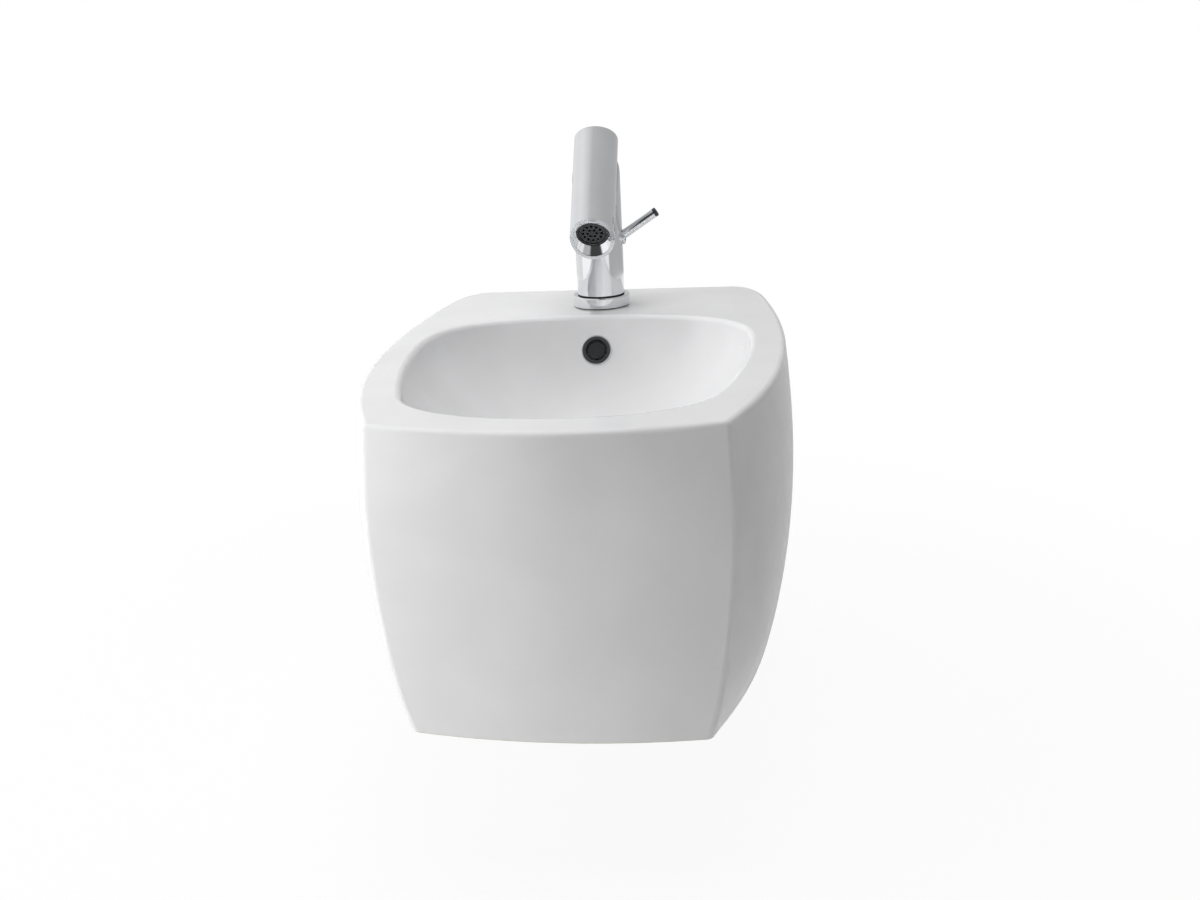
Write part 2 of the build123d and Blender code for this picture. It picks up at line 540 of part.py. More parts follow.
# Wall fixing: two threaded bolts with plastic sleeves, washers and hexagon nuts
inward = Plane((0, 0, 0), x_dir=(1, 0, 0), z_dir=(0, -1, 0))
bolt_places = [(-BOLT_SPACING / 2, 0), (BOLT_SPACING / 2, 0)]
with BuildPart() as wall_bolts:
    for start, length, radius in (
        (-BOLT_WALL_REACH, BOLT_WALL_REACH, BOLT_RADIUS),
        (0, BOLT_BOSS_DEPTH + 24, BOLT_INNER_RADIUS),
    ):
        with BuildSketch(inward.offset(start)):
            with Locations(*bolt_places):
                Circle(radius)
        extrude(amount=length)
    bolt_circles = wall_bolts.edges().filter_by(GeomType.CIRCLE).group_by(Axis.Y)
    chamfer(bolt_circles[0] + bolt_circles[-1], 1)
save(wall_bolts.part, "wall_bolts")

with BuildPart() as bolt_sleeves:
    for start, depth, radius in ((0, BOLT_BOSS_DEPTH, 10.9), (BOLT_BOSS_DEPTH, 3, 15)):
        with BuildSketch(inward.offset(start)):
            with Locations(*bolt_places):
                Circle(radius)
                Circle(BOLT_INNER_RADIUS + 0.1, mode=Mode.SUBTRACT)
        extrude(amount=depth)
save(bolt_sleeves.part, "bolt_sleeves")

with BuildPart() as bolt_washers:
    with BuildSketch(inward.offset(BOLT_BOSS_DEPTH + 3)):
        with Locations(*bolt_places):
            Circle(13)
            Circle(BOLT_INNER_RADIUS + 0.3, mode=Mode.SUBTRACT)
    extrude(amount=2.5)
save(bolt_washers.part, "bolt_washers")

with BuildPart() as bolt_nuts:
    with BuildSketch(inward.offset(BOLT_BOSS_DEPTH + 5.5)):
        with Locations(*bolt_places):
            RegularPolygon(9.5, 6, major_radius=False)
            Circle(BOLT_INNER_RADIUS, mode=Mode.SUBTRACT)
    extrude(amount=10)
save(bolt_nuts.part, "bolt_nuts")
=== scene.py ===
"""Wall-hung bidet with a side-lever mixer tap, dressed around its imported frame.

Metres, +Z up. The finished wall is the plane Y = 0 and the bowl stands out along -Y.
"""

import math

import bmesh
import bpy
from mathutils import Matrix, Vector


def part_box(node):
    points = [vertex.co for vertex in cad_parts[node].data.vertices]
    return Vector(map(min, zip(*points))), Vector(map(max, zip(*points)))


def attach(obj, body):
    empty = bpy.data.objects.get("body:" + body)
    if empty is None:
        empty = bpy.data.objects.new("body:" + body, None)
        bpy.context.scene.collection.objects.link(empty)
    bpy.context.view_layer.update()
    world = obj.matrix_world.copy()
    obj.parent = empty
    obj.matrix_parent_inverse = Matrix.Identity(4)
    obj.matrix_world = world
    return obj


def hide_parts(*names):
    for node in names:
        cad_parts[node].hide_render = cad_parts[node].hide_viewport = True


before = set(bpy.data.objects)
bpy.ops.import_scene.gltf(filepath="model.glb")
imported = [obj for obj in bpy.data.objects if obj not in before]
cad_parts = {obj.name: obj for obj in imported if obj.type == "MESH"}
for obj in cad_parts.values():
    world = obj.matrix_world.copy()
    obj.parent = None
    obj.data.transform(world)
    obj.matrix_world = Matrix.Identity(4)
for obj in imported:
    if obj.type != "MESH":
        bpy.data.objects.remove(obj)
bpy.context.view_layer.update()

# Camera at the photograph's place: about 1.3 m in front of the wall, a little to the right of
# the object's middle and looking down at it by 19 degrees. It comes first, as everything is
# judged through it.
yaw = 0.13651768
pitch = -0.33401774
roll = -0.05244877
forward = Vector((-math.sin(yaw) * math.cos(pitch), math.cos(yaw) * math.cos(pitch), math.sin(pitch)))
level_right = Vector((math.cos(yaw), math.sin(yaw), 0))
level_up = level_right.cross(forward)
right = level_right * math.cos(roll) + level_up * math.sin(roll)
up = level_up * math.cos(roll) - level_right * math.sin(roll)
camera_turn = Matrix((right, up, -forward)).transposed().to_4x4()
camera_place = Vector((0.14187, -1.28393, 0.34660))
camera = bpy.data.objects.new("camera", bpy.data.cameras.new("camera"))
bpy.context.scene.collection.objects.link(camera)
camera.matrix_world = Matrix.Translation(camera_place) @ camera_turn
camera.data.sensor_width = 36
camera.data.lens = 34.494
camera.data.shift_x = 0.01034
camera.data.shift_y = 0.00018
bpy.context.scene.camera = camera

# Bowl: one slip-cast piece of vitreous china with rim, tap deck, basin and hanging skirt.
# It is glazed white wherever it is seen; the face against the wall and the foot of the
# skirt, on which it stood in the kiln, stay bare.


def linear(hex_colour):
    """sRGB hex as the linear colour that a socket takes."""
    parts = [int(hex_colour[i : i + 2], 16) / 255 for i in (1, 3, 5)]
    return (*[p / 12.92 if p <= 0.04045 else ((p + 0.055) / 1.055) ** 2.4 for p in parts], 1.0)


def start_material(name):
    """An empty node material and its tree."""
    material = bpy.data.materials.new(name)
    material.use_nodes = True
    material.node_tree.nodes.clear()
    return material, material.node_tree


def add(tree, kind, sockets=None, **settings):
    """One shader node: settings by name, and sockets by name or number, as a value or a link."""
    node = tree.nodes.new("ShaderNode" + kind)
    for name, value in settings.items():
        setattr(node, name, value)
    for socket, value in (sockets or {}).items():
        if isinstance(value, bpy.types.NodeSocket):
            tree.links.new(value, node.inputs[socket])
        else:
            node.inputs[socket].default_value = value
    return node


def dress(material, *names):
    """Gives CAD nodes their finish."""
    for name in names:
        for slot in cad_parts[name].material_slots:
            slot.material = material


# Vitreous china, glazed and fired: a thick clear glass over a white body. The glaze lies in
# very shallow waves about 9 mm long, which soften what it mirrors, with a fine orange peel.
glazed_china, tree = start_material("vitreous_china_glazed")
place = add(tree, "TexCoord").outputs["Object"]
cloud = add(tree, "TexNoise", {"Vector": place, "Scale": 1 / 0.070, "Detail": 2})
body_tone = add(tree, "ValToRGB", {"Fac": cloud.outputs["Fac"]})
body_tone.color_ramp.elements[0].position = 0.35
body_tone.color_ramp.elements[0].color = linear("#EEEEEF")
body_tone.color_ramp.elements[1].position = 0.7
body_tone.color_ramp.elements[1].color = linear("#F3F3F4")
waves = add(tree, "TexNoise", {"Vector": place, "Scale": 1 / 0.009, "Detail": 1})
peel = add(tree, "TexNoise", {"Vector": place, "Scale": 1 / 0.0014, "Detail": 2})
wave_bump = add(tree, "Bump", {"Height": waves.outputs["Fac"], "Strength": 0.25, "Distance": 0.0002})
glaze_bump = add(tree, "Bump", {
    "Height": peel.outputs["Fac"], "Strength": 0.1, "Distance": 0.00005,
    "Normal": wave_bump.outputs["Normal"],
})
sheen_break = add(tree, "MapRange", {"Value": cloud.outputs["Fac"], "To Min": 0.10, "To Max": 0.16})
glaze = add(tree, "BsdfPrincipled", {
    "Base Color": body_tone.outputs["Color"], "Roughness": sheen_break.outputs["Result"],
    "IOR": 1.5, "Normal": glaze_bump.outputs["Normal"],
})

# Bisque, the same china where the glaze was wiped off before firing: a dull, chalky cream, with
# the grain of the clay drawn 1.1 mm coarse, as the real one is too fine to show. It takes the
# last 0.8 mm of the bowl at the wall and at the foot.
bare_depth = 0.0008
bisque_grain = add(tree, "TexNoise", {"Vector": place, "Scale": 1 / 0.0011, "Detail": 4})
bisque_tone = add(tree, "ValToRGB", {"Fac": bisque_grain.outputs["Fac"]})
bisque_tone.color_ramp.elements[0].color = linear("#D9D4C8")
bisque_tone.color_ramp.elements[1].color = linear("#E8E4DA")
bisque_bump = add(tree, "Bump", {
    "Height": bisque_grain.outputs["Fac"], "Strength": 0.5, "Distance": 0.0001,
})
bisque = add(tree, "BsdfPrincipled", {
    "Base Color": bisque_tone.outputs["Color"], "Roughness": 0.75,
    "IOR": 1.5, "Normal": bisque_bump.outputs["Normal"],
})
bowl_low, bowl_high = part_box("bowl")
bare_wall, bare_foot = bowl_high[1] - bare_depth, bowl_low[2] + bare_depth
axes = add(tree, "SeparateXYZ", {"Vector": place})
at_wall = add(tree, "Math", {0: axes.outputs["Y"], 1: bare_wall}, operation="GREATER_THAN")
at_foot = add(tree, "Math", {0: axes.outputs["Z"], 1: bare_foot}, operation="LESS_THAN")
bare = add(tree, "Math", {0: at_wall.outputs[0], 1: at_foot.outputs[0]}, operation="MAXIMUM")
both = add(tree, "MixShader", {0: bare.outputs[0], 1: glaze.outputs[0], 2: bisque.outputs[0]})
add(tree, "OutputMaterial", {"Surface": both.outputs[0]})
dress(glazed_china, "bowl")

# Wall fixing: two M12 threaded bolts screwed into the wall frame, with nylon sleeves that
# keep the steel off the china, and a washer and hexagon nut on each. The thread runs from end
# to end of each bolt, and the corners of the nuts are bevelled on both faces.

# Steel, drawn and plated with bright zinc: a bluish grey with a soft, uneven shine, in
# spangles 2.5 mm across.
zinc_steel, tree = start_material("steel_zinc_plated")
place = add(tree, "TexCoord").outputs["Object"]
spangle = add(tree, "TexNoise", {"Vector": place, "Scale": 1 / 0.0025, "Detail": 3})
zinc_tone = add(tree, "ValToRGB", {"Fac": spangle.outputs["Fac"]})
zinc_tone.color_ramp.elements[0].color = linear("#A9ADB2")
zinc_tone.color_ramp.elements[1].color = linear("#C6C9CC")
zinc_rough = add(tree, "MapRange", {"Value": spangle.outputs["Fac"], "To Min": 0.26, "To Max": 0.42})
zinc_bump = add(tree, "Bump", {"Height": spangle.outputs["Fac"], "Strength": 0.2, "Distance": 0.00005})
zinc = add(tree, "BsdfPrincipled", {
    "Base Color": zinc_tone.outputs["Color"], "Metallic": 1.0,
    "Roughness": zinc_rough.outputs["Result"], "Normal": zinc_bump.outputs["Normal"],
})
add(tree, "OutputMaterial", {"Surface": zinc.outputs[0]})
dress(zinc_steel, "wall_bolts", "bolt_washers", "bolt_nuts")


def make_piece(name, points, faces, material, body="bidet"):
    """A mesh piece with welded points, smooth faces and crisp edges, riding on one body."""
    same_point = 0.000001
    crease = math.radians(35)
    mesh = bpy.data.meshes.new(name)
    mesh.from_pydata(points, [], faces)
    shape = bmesh.new()
    shape.from_mesh(mesh)
    bmesh.ops.remove_doubles(shape, verts=shape.verts, dist=same_point)
    bmesh.ops.recalc_face_normals(shape, faces=shape.faces)
    shape.to_mesh(mesh)
    shape.free()
    mesh.polygons.foreach_set("use_smooth", [True] * len(mesh.polygons))
    mesh.set_sharp_from_angle(angle=crease)
    mesh.materials.append(material)
    piece = bpy.data.objects.new(name, mesh)
    bpy.context.scene.collection.objects.link(piece)
    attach(piece, body)
    return piece


def wind_thread(points, faces, foot, along, length, crest, depth, pitch, ends=True):
    """A screw thread wound round an axis, with bevelled ends; crest is its outer radius.

    Each turn has four rows of points, where its flanks meet the flat crest and the flat root.
    """
    across = along.orthogonal().normalized()
    beside = along.cross(across)
    steps = 36
    outline = ((0.0, 0), (0.375, depth), (0.5, depth), (0.875, 0))
    per_turn = len(outline)
    rows = (math.ceil(length / pitch) + 2) * per_turn
    first = len(points)
    for step in range(steps):
        turn = 2 * math.pi * step / steps
        spoke = across * math.cos(turn) + beside * math.sin(turn)
        for row in range(rows):
            share, rise = outline[row % per_turn]
            height = min(max((row // per_turn - 1 + share + step / steps) * pitch, 0), length)
            bevel = max(depth - min(height, length - height), 0)
            points.append(foot + along * height + spoke * (crest - depth + min(rise, depth - bevel)))
    for step in range(steps):
        joins_next_turn = step == steps - 1
        here = first + step * rows
        there = first + per_turn if joins_next_turn else here + rows
        for row in range(rows - 1 - (per_turn if joins_next_turn else 0)):
            faces.append((here + row, there + row, there + row + 1, here + row + 1))
    if ends:
        for row, middle_point in ((0, foot), (rows - 1, foot + along * length)):
            points.append(middle_point)
            for step in range(steps):
                after = first + (step + 1) % steps * rows
                faces.append((len(points) - 1, first + step * rows + row, after + row))


def cut_nut(points, faces, foot, along, height, apothem, bore):
    """A hexagon nut: corners bevelled by 30 degrees on both faces, and a countersunk bore."""
    across = along.orthogonal().normalized()
    beside = along.cross(across)
    steps, rows = 72, 8
    crown = apothem * 0.96
    sink = apothem * 0.06
    first = len(points)
    for step in range(steps):
        turn = 2 * math.pi * step / steps
        spoke = across * math.cos(turn) + beside * math.sin(turn)
        reach = apothem / math.cos((turn + math.pi / 6) % (math.pi / 3) - math.pi / 6)
        bevel = (reach - crown) * math.tan(math.radians(30))
        lower = ((bore, sink), (bore + sink, 0), (crown, 0), (reach, bevel))
        upper = tuple((out, height - rise) for out, rise in reversed(lower))
        points.extend(foot + along * rise + spoke * out for out, rise in lower + upper)
    for step in range(steps):
        here = first + step * rows
        there = first + (step + 1) % steps * rows
        for row in range(rows):
            after = (row + 1) % rows
            faces.append((here + row, there + row, there + after, here + after))


# An M12 thread has a pitch of 1.75 mm, and its nuts are 19 mm across flats.
bolt_x = 0.09
to_wall = Vector((0, 1, 0))
bolt_low, bolt_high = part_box("wall_bolts")
bolt_length = bolt_high[1] - bolt_low[1]
points, faces = [], []
for side in (-1, 1):
    foot = Vector((side * bolt_x, bolt_low[1], 0))
    wind_thread(points, faces, foot, to_wall, bolt_length, crest=0.00588, depth=0.00107, pitch=0.00175)
bolts = make_piece("wall_bolts_threaded", points, faces, zinc_steel)
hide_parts("wall_bolts")
nut_low, nut_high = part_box("bolt_nuts")
nut_height = nut_high[1] - nut_low[1]
points, faces = [], []
for side in (-1, 1):
    foot = Vector((side * bolt_x, nut_low[1], 0))
    cut_nut(points, faces, foot, to_wall, nut_height, apothem=0.0095, bore=0.00586)
nuts = make_piece("bolt_nuts_bevelled", points, faces, zinc_steel)
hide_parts("bolt_nuts")

# Nylon, injection moulded: milky white, and satin from the grain of the mould, which is drawn
# 0.7 mm coarse so that it shows.
nylon, tree = start_material("nylon_moulded_white")
place = add(tree, "TexCoord").outputs["Object"]
mould_grain = add(tree, "TexNoise", {"Vector": place, "Scale": 1 / 0.0007, "Detail": 2})
nylon_tone = add(tree, "ValToRGB", {"Fac": mould_grain.outputs["Fac"]})
nylon_tone.color_ramp.elements[0].color = linear("#DEDDD6")
nylon_tone.color_ramp.elements[1].color = linear("#E9E8E2")
nylon_bump = add(tree, "Bump", {
    "Height": mould_grain.outputs["Fac"], "Strength": 0.3, "Distance": 0.00005,
})
milky = add(tree, "BsdfPrincipled", {
    "Base Color": nylon_tone.outputs["Color"], "Roughness": 0.42, "IOR": 1.53,
    "Subsurface Weight": 0.15, "Subsurface Scale": 0.002, "Normal": nylon_bump.outputs["Normal"],
})
add(tree, "OutputMaterial", {"Surface": milky.outputs[0]})
dress(nylon, "bolt_sleeves", "latch_cartridge", "cartridge")

# Overflow: a plated brass ring pressed into the rear wall of the basin, and in it a dark
# moulded cap that the water passes all round.

# Brass, polished and chromium plated: a cool mirror. Polishing leaves hairlines finer than the
# render shows, so they are drawn as long, faint waves 4 mm wide in the roughness.
chrome, tree = start_material("brass_polished_chromium_plated")
place = add(tree, "TexCoord").outputs["Object"]
drift = add(tree, "TexNoise", {"Vector": place, "Scale": 1 / 0.017, "Detail": 2})
drawn = add(tree, "Mapping", {"Vector": place, "Scale": (1, 1, 0.08)})
hairlines = add(tree, "TexNoise", {"Vector": drawn.outputs["Vector"], "Scale": 1 / 0.004, "Detail": 2})
chrome_tone = add(tree, "ValToRGB", {"Fac": drift.outputs["Fac"]})
chrome_tone.color_ramp.elements[0].color = linear("#DCDEE1")
chrome_tone.color_ramp.elements[1].color = linear("#E6E8EA")
chrome_rough = add(tree, "MapRange", {"Value": hairlines.outputs["Fac"], "To Min": 0.05, "To Max": 0.09})
mirror = add(tree, "BsdfPrincipled", {
    "Base Color": chrome_tone.outputs["Color"], "Metallic": 1.0,
    "Roughness": chrome_rough.outputs["Result"],
})
add(tree, "OutputMaterial", {"Surface": mirror.outputs[0]})
dress(chrome, "overflow_ring")

# ABS, moulded in dark grey: satin, with a little light at its edges, from a mould grain that
# is drawn 0.6 mm coarse so that it shows.
dark_abs, tree = start_material("abs_moulded_dark_grey")
place = add(tree, "TexCoord").outputs["Object"]
abs_grain = add(tree, "TexNoise", {"Vector": place, "Scale": 1 / 0.0006, "Detail": 3})
abs_tone = add(tree, "ValToRGB", {"Fac": abs_grain.outputs["Fac"]})
abs_tone.color_ramp.elements[0].color = linear("#26282A")
abs_tone.color_ramp.elements[1].color = linear("#34373A")
abs_bump = add(tree, "Bump", {"Height": abs_grain.outputs["Fac"], "Strength": 0.3, "Distance": 0.00005})
satin_dark = add(tree, "BsdfPrincipled", {
    "Base Color": abs_tone.outputs["Color"], "Roughness": 0.38, "IOR": 1.52,
    "Normal": abs_bump.outputs["Normal"],
})
add(tree, "OutputMaterial", {"Surface": satin_dark.outputs[0]})
dress(dark_abs, "overflow_grid")

# Waste: a plated brass flange with its threaded body through the floor of the basin, a plug on
# its latch, rubber gaskets above and below the china and a brass back nut. The pipe thread
# shows between the back nut and the union nut of the trap.
dress(chrome, "waste_flange", "waste_plug")
waste_y = -0.265
upward = Vector((0, 0, 1))
off_nut = 0.0001
thread_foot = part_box("trap_inlet_nut")[1][2] + off_nut
thread_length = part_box("waste_nut")[0][2] - off_nut - thread_foot
points, faces = [], []
foot = Vector((0, waste_y, thread_foot))
wind_thread(
    points, faces, foot, upward, thread_length, crest=0.0213, depth=0.0006, pitch=0.0023, ends=False
)
make_piece("waste_thread", points, faces, chrome)
dress(zinc_steel, "plug_stem")

# EPDM rubber, compression moulded: near black and matt, with a powdery bloom in specks 2 mm
# across.
rubber, tree = start_material("epdm_rubber_moulded")
place = add(tree, "TexCoord").outputs["Object"]
bloom = add(tree, "TexNoise", {"Vector": place, "Scale": 1 / 0.002, "Detail": 4})
rubber_tone = add(tree, "ValToRGB", {"Fac": bloom.outputs["Fac"]})
rubber_tone.color_ramp.elements[0].color = linear("#1C1C1D")
rubber_tone.color_ramp.elements[1].color = linear("#2F2F30")
rubber_bump = add(tree, "Bump", {"Height": bloom.outputs["Fac"], "Strength": 0.3, "Distance": 0.0001})
matt_black = add(tree, "BsdfPrincipled", {
    "Base Color": rubber_tone.outputs["Color"], "Roughness": 0.72, "IOR": 1.5,
    "Normal": rubber_bump.outputs["Normal"],
})
add(tree, "OutputMaterial", {"Surface": matt_black.outputs[0]})
dress(rubber, "plug_seal", "waste_gasket_upper", "waste_gasket_lower")

# Brass, turned on a lathe: warm yellow. The grain that the tool leaves is drawn 1.1 mm coarse,
# as the real one is too fine to show.
turned_brass, tree = start_material("brass_turned")
place = add(tree, "TexCoord").outputs["Object"]
tool_grain = add(tree, "TexNoise", {"Vector": place, "Scale": 1 / 0.0011, "Detail": 2})
brass_tone = add(tree, "ValToRGB", {"Fac": tool_grain.outputs["Fac"]})
brass_tone.color_ramp.elements[0].color = linear("#B8924C")
brass_tone.color_ramp.elements[1].color = linear("#D2AE66")
brass_bump = add(tree, "Bump", {
    "Height": tool_grain.outputs["Fac"], "Strength": 0.25, "Distance": 0.00005,
})
yellow = add(tree, "BsdfPrincipled", {
    "Base Color": brass_tone.outputs["Color"], "Metallic": 1.0, "Roughness": 0.28,
    "Normal": brass_bump.outputs["Normal"],
})
add(tree, "OutputMaterial", {"Surface": yellow.outputs[0]})
dress(turned_brass, "waste_nut")

# Bottle trap: a plated brass body hung from the waste by a union nut, a cup that screws off for
# cleaning, and the pipe to the wall, held by a second union nut.
dress(chrome, "trap_inlet_nut", "trap_body", "trap_cup", "trap_outlet_nut", "outlet_pipe")
dress(rubber, "trap_inlet_seal", "trap_cup_seal", "trap_outlet_seal")

# Tap foot: a plated base ring with a bevelled edge, on a flat rubber seal. The stud below
# draws both of them down on the deck.
dress(rubber, "tap_base_seal")
dress(chrome, "tap_base_ring")

# Tap body: a plated brass column and the wide spout tube that leans over its shoulder. A black
# ring lies in the groove between the column and the base ring, as painted shade there.
dress(chrome, "tap_body")
tap_y = -0.08
# The ring is painted shade: a black band that darkens the groove round the foot of the column.
groove_reach = 0.0241
groove_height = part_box("tap_base_ring")[1][2] + 0.0006
shade_ring_half_width, shade_ring_half_height = 0.00065, 0.00058
ring_steps, ring_rows = 96, 12
points, faces = [], []
for step in range(ring_steps):
    turn = 2 * math.pi * step / ring_steps
    here, there = step * ring_rows, (step + 1) % ring_steps * ring_rows
    for row in range(ring_rows):
        swell = 2 * math.pi * row / ring_rows
        reach = groove_reach + shade_ring_half_width * math.cos(swell)
        height = groove_height + shade_ring_half_height * math.sin(swell)
        points.append((reach * math.cos(turn), tap_y + reach * math.sin(turn), height))
        after = (row + 1) % ring_rows
        faces.append((here + row, there + row, there + after, here + after))
make_piece("column_groove_painted_shade", points, faces, rubber)

# Nozzle: a plated socket in the end of the spout, and in it a dark ball that turns, with
# the pierced jet former. Round the ball a plated mouth flares out to the slanting lip of the
# spout.
dress(chrome, "aerator_socket")
dress(dark_abs, "aerator_ball", "aerator_insert")
spout_lean, lip_lean, ball_lean = 51, 27, 37
spout_way, lip_way, ball_way = (
    Vector((0, -math.cos(math.radians(lean)), -math.sin(math.radians(lean))))
    for lean in (spout_lean, lip_lean, ball_lean)
)
spout_top = Vector((0, -0.0607, 0.2606))
ball_along, lip_along, seat_ahead = 0.1079, 0.1190, 0.0070
seat_reach, lip_reach = 0.0162, 0.0192
mouth_skin = 0.0004
ball_centre = spout_top + spout_way * ball_along
lip_centre = spout_top + spout_way * lip_along - lip_way * mouth_skin
seat_centre = ball_centre + ball_way * seat_ahead
sideways = Vector((1, 0, 0))
mouth_steps, flare_rows = 96, 8
points, faces = [], []
for step in range(mouth_steps):
    turn = 2 * math.pi * step / mouth_steps
    from_ball = sideways * math.cos(turn) + ball_way.cross(sideways) * math.sin(turn)
    from_spout = sideways * math.cos(turn) + spout_way.cross(sideways) * math.sin(turn)
    seat = seat_centre + from_ball * seat_reach
    lip = lip_centre + from_spout * lip_reach
    lip -= spout_way * ((lip - lip_centre).dot(lip_way) / spout_way.dot(lip_way))
    flare = [seat.lerp(lip, row / flare_rows) for row in range(flare_rows + 1)]
    flare += [lip - spout_way * mouth_skin, seat + (from_ball - ball_way) * mouth_skin]
    points.extend(flare)
    here, there = step * len(flare), (step + 1) % mouth_steps * len(flare)
    for row in range(len(flare)):
        after = (row + 1) % len(flare)
        faces.append((here + row, there + row, there + after, here + after))
make_piece("nozzle_mouth", points, faces, chrome)

# Mixing cartridge: a nylon body across the column, held by a brass ring nut behind a plated
# cover. Its steel spindle is worked by the lever, a plated rod in a slotted collar. A black
# cap, rounded over, sits on the end of the rod as painted shade at its end.
dress(turned_brass, "cartridge_nut")
dress(chrome, "lever_cover", "lever_collar", "lever_rod")
dress(zinc_steel, "cartridge_spindle")
lever_lean = math.radians(33)
lever_way = Vector((math.cos(lever_lean), 0, math.sin(lever_lean)))
lever_reach = 0.0465
lever_pivot = Vector((0.0224, tap_y, 0.161))
lever_end = lever_pivot + lever_way * lever_reach
lever_side = Vector((0, 1, 0))
# Radius and height of the dark tip's outline, counted from the end of the rod.
dark_tip_foot, dark_tip_crown = -0.0032, 0.00025
dark_tip_outline = (
    (0.0042, dark_tip_foot), (0.00466, -0.0030), (0.00466, -0.00035), (0.00445, 0.00005), (0.0039, 0.0002),
)
dark_tip_steps, dark_tip_rows = 48, len(dark_tip_outline)
points = [lever_end + lever_way * dark_tip_foot, lever_end + lever_way * dark_tip_crown]
faces = []
for step in range(dark_tip_steps):
    turn = 2 * math.pi * step / dark_tip_steps
    spoke = lever_side * math.cos(turn) + lever_way.cross(lever_side) * math.sin(turn)
    points.extend(lever_end + lever_way * rise + spoke * out for out, rise in dark_tip_outline)
    here, there = 2 + step * dark_tip_rows, 2 + (step + 1) % dark_tip_steps * dark_tip_rows
    for row in range(dark_tip_rows - 1):
        faces.append((here + row, there + row, there + row + 1, here + row + 1))
    faces.extend(((0, there, here), (1, here + dark_tip_rows - 1, there + dark_tip_rows - 1)))
# The black cap is painted shade at the end of the lever rod.
make_piece("lever_end_painted_shade", points, faces, dark_abs, body="lever")

# Tap fixing under the deck: an M8 stud screwed into the foot of the tap, a pressed steel
# horseshoe on a rubber pad, and a brass nut, 13 mm across flats, that pulls them up against
# the china.
dress(zinc_steel, "tap_stud", "tap_horseshoe")
dress(rubber, "tap_horseshoe_pad")
dress(turned_brass, "tap_nut")
stud_y = -0.071
stud_low, stud_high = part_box("tap_stud")
stud_length = stud_high[2] - stud_low[2]
points, faces = [], []
foot = Vector((0, stud_y, stud_low[2]))
wind_thread(points, faces, foot, upward, stud_length, crest=0.00392, depth=0.00077, pitch=0.00125)
stud = make_piece("tap_stud_threaded", points, faces, zinc_steel)
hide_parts("tap_stud")
nut_low, nut_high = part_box("tap_nut")
nut_height = nut_high[2] - nut_low[2]
points, faces = [], []
foot = Vector((0, stud_y, nut_low[2]))
cut_nut(points, faces, foot, upward, nut_height, apothem=0.0065, bore=0.0039)
tap_nut = make_piece("tap_nut_bevelled", points, faces, turned_brass)
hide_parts("tap_nut")

# Floor: plain and white, 400 mm below the rim, as such a bidet is hung. The camera and the
# chrome see it as the white of the background. It keeps a soft shadow near the object and
# runs out to pure white, so that no line parts it from the room.


def seen_plainly(tree):
    """1 where the camera, a mirror or clear glass looks at it, and 0 for the light that it throws."""
    rays = add(tree, "LightPath").outputs
    looks = {0: rays["Is Camera Ray"], 1: rays["Is Glossy Ray"]}
    mirrored = add(tree, "Math", looks, operation="MAXIMUM")
    looks = {0: mirrored.outputs[0], 1: rays["Is Transmission Ray"]}
    return add(tree, "Math", looks, operation="MAXIMUM").outputs[0]


floor_level = -0.31
floor_reach = 6
under_bowl = (0, -0.25, floor_level)
square = ((-1, -1), (1, -1), (1, 1), (-1, 1))
floor_corners = [(x * floor_reach, y * floor_reach, floor_level) for x, y in square]
floor_mesh = bpy.data.meshes.new("floor")
floor_mesh.from_pydata(floor_corners, [], [(0, 1, 2, 3)])
floor = bpy.data.objects.new("floor", floor_mesh)
bpy.context.scene.collection.objects.link(floor)
painted_floor, tree = start_material("studio_floor_white")
place = add(tree, "NewGeometry").outputs["Position"]
away = add(tree, "VectorMath", {0: place, 1: under_bowl}, operation="DISTANCE")
whiteness = add(tree, "MapRange", {
    "Value": away.outputs["Value"], "From Min": 0.35, "From Max": 1.0, "To Min": 0.93, "To Max": 1.0,
}, interpolation_type="SMOOTHSTEP")
seen = add(tree, "Math", {0: seen_plainly(tree), 1: whiteness.outputs["Result"]}, operation="MULTIPLY")
matt_white = add(tree, "BsdfDiffuse", {"Color": linear("#F4F4F4")})
white_glow = add(tree, "Emission", {"Color": (1, 1, 1, 1), "Strength": 1.0})
mixed = add(tree, "MixShader", {0: seen.outputs[0], 1: matt_white.outputs[0], 2: white_glow.outputs[0]})
add(tree, "OutputMaterial", {"Surface": mixed.outputs[0]})
floor_mesh.materials.append(painted_floor)

# Tent: a cloth dome round the set, which is there only for the chrome and the glaze to mirror.
# It glows at the left, where the lamps stand, and falls to a middle grey at the right.
tent_radius = 2.3
tent_hem = -0.7
tent_mesh = bpy.data.meshes.new("tent")
cloth = bmesh.new()
bmesh.ops.create_uvsphere(cloth, u_segments=64, v_segments=32, radius=tent_radius)
below_hem = [point for point in cloth.verts if point.co.z < tent_hem]
bmesh.ops.delete(cloth, geom=below_hem, context="VERTS")
cloth.to_mesh(tent_mesh)
cloth.free()
tent = bpy.data.objects.new("tent", tent_mesh)
bpy.context.scene.collection.objects.link(tent)
lit_cloth, tree = start_material("tent_cloth_lit")
place = add(tree, "TexCoord").outputs["Object"]
across = add(tree, "SeparateXYZ", {"Vector": place})
from_left = add(tree, "MapRange", {
    "Value": across.outputs["X"], "From Min": -tent_radius, "From Max": tent_radius,
})
glow = add(tree, "ValToRGB", {"Fac": from_left.outputs["Result"]})
tent_greys = ((0.0, 0.87), (0.15, 0.93), (0.32, 0.75), (0.45, 0.58), (0.9, 0.48))
while len(glow.color_ramp.elements) < len(tent_greys):
    glow.color_ramp.elements.new(0.5)
for stop, (position, grey) in zip(glow.color_ramp.elements, tent_greys):
    stop.position = position
    stop.color = (grey, grey, grey, 1)
shining = add(tree, "Emission", {"Color": glow.outputs["Color"], "Strength": 1.0})
add(tree, "OutputMaterial", {"Surface": shining.outputs[0]})
tent_mesh.materials.append(lit_cloth)
tent.visible_camera = False
tent.visible_diffuse = False
tent.visible_shadow = False

